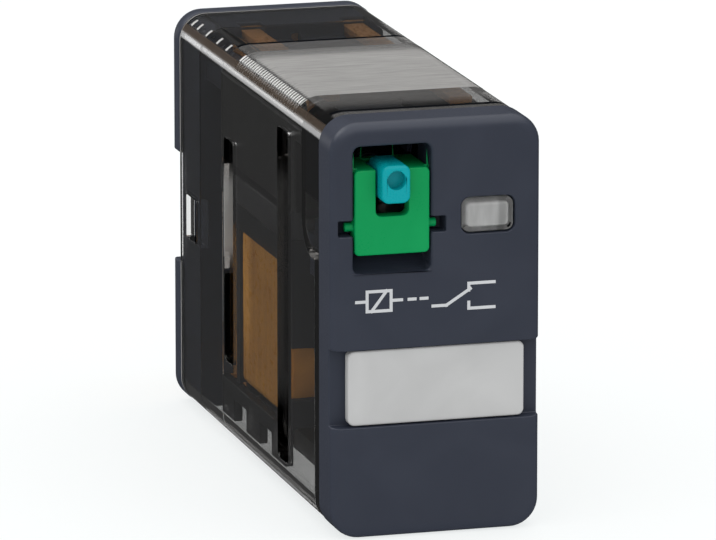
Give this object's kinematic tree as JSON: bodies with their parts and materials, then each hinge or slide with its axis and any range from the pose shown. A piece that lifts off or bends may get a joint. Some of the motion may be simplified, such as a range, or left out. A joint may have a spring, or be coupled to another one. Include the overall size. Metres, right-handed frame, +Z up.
{
  "type": "plug-in control relay",
  "caption": "Narrow plug-in control relay with a smoked clear cover, navy front cap, lock-down door, test button, indicator, legend label and flat blades.",
  "frame": {"origin": "centre of the base's rear seating face, where the blades leave the case", "axes": "+Y out of the seating face along the blades, +Z up along the case's height, +X to the right seen from the front"},
  "size_m": [0.014, 0.0475, 0.0274],
  "materials": {
    "navy_plastic": "satin",
    "smoked_clear": "gloss",
    "green_plastic": "satin",
    "teal_plastic": "satin",
    "spring_steel": "satin",
    "label_plastic": "matte",
    "lens_clear": "gloss",
    "led_epoxy": "gloss",
    "tinned_wire": "satin",
    "board_laminate": "satin",
    "resistor_lacquer": "satin",
    "diode_body": "satin",
    "bobbin_plastic": "satin",
    "copper_winding": "satin",
    "amber_tape": "gloss",
    "magnet_iron": "satin",
    "contact_grey_plastic": "satin",
    "barrier_plastic": "satin",
    "copper_alloy": "satin",
    "contact_silver": "satin",
    "lead_insulation": "satin"
  },
  "bodies": {
    "case": {"base": "navy_plastic", "cover": "smoked_clear", "front_cap": "navy_plastic", "button_spring": "spring_steel", "indicator_lens": "lens_clear", "indicator_led": "led_epoxy", "led_leads": "tinned_wire", "led_board": "board_laminate", "led_resistor": "resistor_lacquer", "suppression_diode": "diode_body", "coil_bobbin": "bobbin_plastic", "coil_winding": "copper_winding", "coil_tape": "amber_tape", "magnet_core": "magnet_iron", "magnet_yoke": "magnet_iron", "armature_clip": "spring_steel", "return_spring": "spring_steel", "contact_braid": "copper_alloy", "insulating_barrier": "barrier_plastic", "contact_block": "contact_grey_plastic", "terminal_common": "copper_alloy", "terminal_open": "copper_alloy", "terminal_closed": "copper_alloy", "fixed_tip_open": "contact_silver", "fixed_tip_closed": "contact_silver", "terminal_coil_left": "copper_alloy", "terminal_coil_right": "copper_alloy", "coil_leads": "copper_winding", "board_leads": "lead_insulation"},
    "test_button": {"test_button": "teal_plastic"},
    "armature": {"armature": "magnet_iron", "contact_carrier": "navy_plastic", "moving_contact_arm": "copper_alloy", "moving_contact_tips": "contact_silver"},
    "lock_door": {"lock_door": "green_plastic"},
    "legend_label": {"legend_label": "label_plastic"}
  },
  "joints": [
    {"name": "button_slide", "type": "slide", "parent": "case", "child": "test_button", "axis": [0, 1, 0], "range_m": [0, 0.001], "stiffness_N_per_m": 150, "springref_m": -0.0005, "deforming": ["button_spring"]},
    {"name": "armature_hinge", "type": "hinge", "parent": "case", "child": "armature", "pos_m": [0, -0.0292, -0.0111], "axis": [-1, 0, 0], "range_deg": [0, 2.6], "stiffness_Nm_per_rad": 0.01, "springref_deg": -0.57, "deforming": ["return_spring", "contact_braid"]},
    {"name": "door_hinge", "type": "hinge", "parent": "case", "child": "lock_door", "pos_m": [-0.003, -0.03925, 0.00688], "axis": [1, 0, 0], "range_deg": [0, 90]},
    {"name": "label_slide", "type": "slide", "parent": "case", "child": "legend_label", "axis": [0, -1, 0], "range_m": [0, 0.003]}
  ],
  "couplings": [
    {"joint": "armature_hinge", "follows": "button_slide", "rad_per_m": 45.379}
  ]
}
